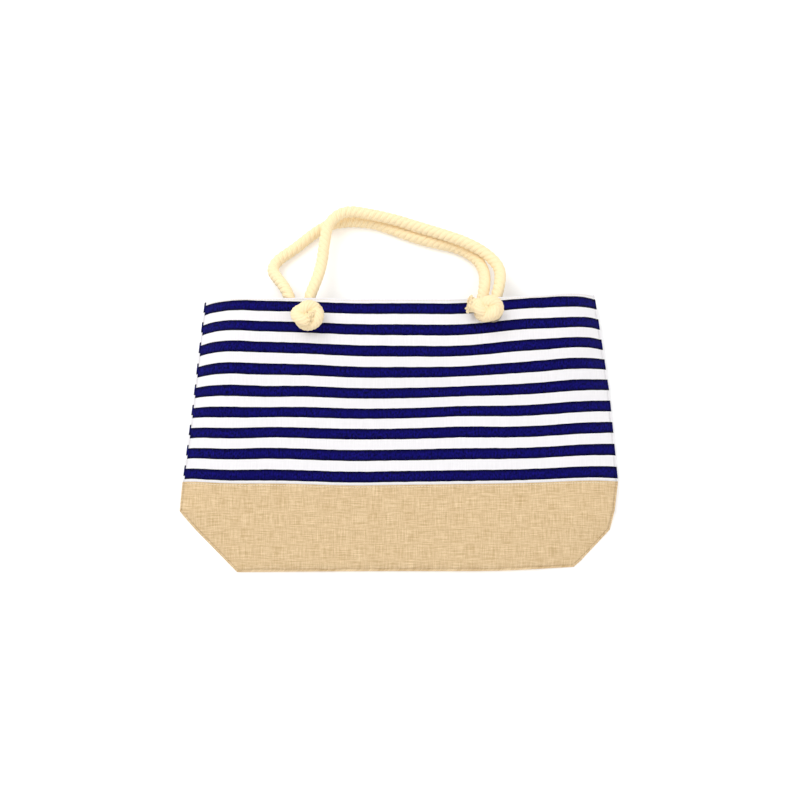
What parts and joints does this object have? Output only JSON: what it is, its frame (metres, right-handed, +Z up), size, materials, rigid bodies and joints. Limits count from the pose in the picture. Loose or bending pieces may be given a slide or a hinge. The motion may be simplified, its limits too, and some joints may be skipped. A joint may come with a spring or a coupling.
{
  "type": "beach bag",
  "caption": "Flat-lying beach bag with striped canvas walls, a jute base folded up behind, and knotted cotton rope handles.",
  "frame": {"origin": "on the surface that the bag lies on, under the middle of the bag without its rope handles", "axes": "+X across the bag, +Y from its bottom edge to its mouth, +Z up out of the front wall"},
  "size_m": [0.5, 0.4351, 0.0778],
  "materials": {
    "striped_canvas": "printed cotton canvas, matte",
    "jute_cloth": "coarse woven jute look, matte",
    "lining_cloth": "plain woven lining, matte",
    "binding_tape": "cotton tape, matte",
    "cotton_rope": "three-strand twisted cotton, matte",
    "nickel": "nickel plate, satin"
  },
  "bodies": {
    "bag_body": {"back_stripe_panel": "striped_canvas", "base_front_panel": "jute_cloth", "base_bottom_panel": "jute_cloth", "base_back_panel": "jute_cloth", "back_lining": "lining_cloth", "base_front_lining": "lining_cloth", "base_bottom_lining": "lining_cloth", "back_hem_facing": "striped_canvas", "left_side_seam": "striped_canvas", "right_side_seam": "striped_canvas", "inner_pocket": "lining_cloth", "pocket_binding": "binding_tape", "snap_stud": "nickel", "back_left_eyelet": "nickel", "back_left_washer": "nickel", "back_left_knot": "cotton_rope", "back_left_rope_end": "cotton_rope", "back_right_eyelet": "nickel", "back_right_washer": "nickel", "back_right_knot": "cotton_rope", "back_right_rope_end": "cotton_rope"},
    "front_wall": {"front_stripe_panel": "striped_canvas", "front_lining": "lining_cloth", "front_hem_facing": "striped_canvas", "snap_socket": "nickel", "front_left_eyelet": "nickel", "front_left_washer": "nickel", "front_left_knot": "cotton_rope", "front_left_rope_end": "cotton_rope", "front_right_eyelet": "nickel", "front_right_washer": "nickel", "front_right_knot": "cotton_rope", "front_right_rope_end": "cotton_rope"},
    "front_handle": {"front_handle_rope": "cotton_rope"},
    "back_handle": {"back_handle_rope": "cotton_rope"}
  },
  "joints": [
    {"name": "mouth_opening", "type": "hinge", "parent": "bag_body", "child": "front_wall", "pos_m": [0, -0.059, 0.023], "axis": [1, 0, 0], "range_deg": [0, 20]},
    {"name": "front_handle_lift", "type": "hinge", "parent": "front_wall", "child": "front_handle", "pos_m": [0, 0.1565, 0.0486], "axis": [1, 0, 0], "range_deg": [0, 100]},
    {"name": "back_handle_lift", "type": "hinge", "parent": "bag_body", "child": "back_handle", "pos_m": [0, 0.1565, 0.0486], "axis": [1, 0, 0], "range_deg": [0, 100]}
  ],
  "couplings": [
    {"joint": "back_handle_lift", "follows": "front_handle_lift", "ratio": 1}
  ]
}
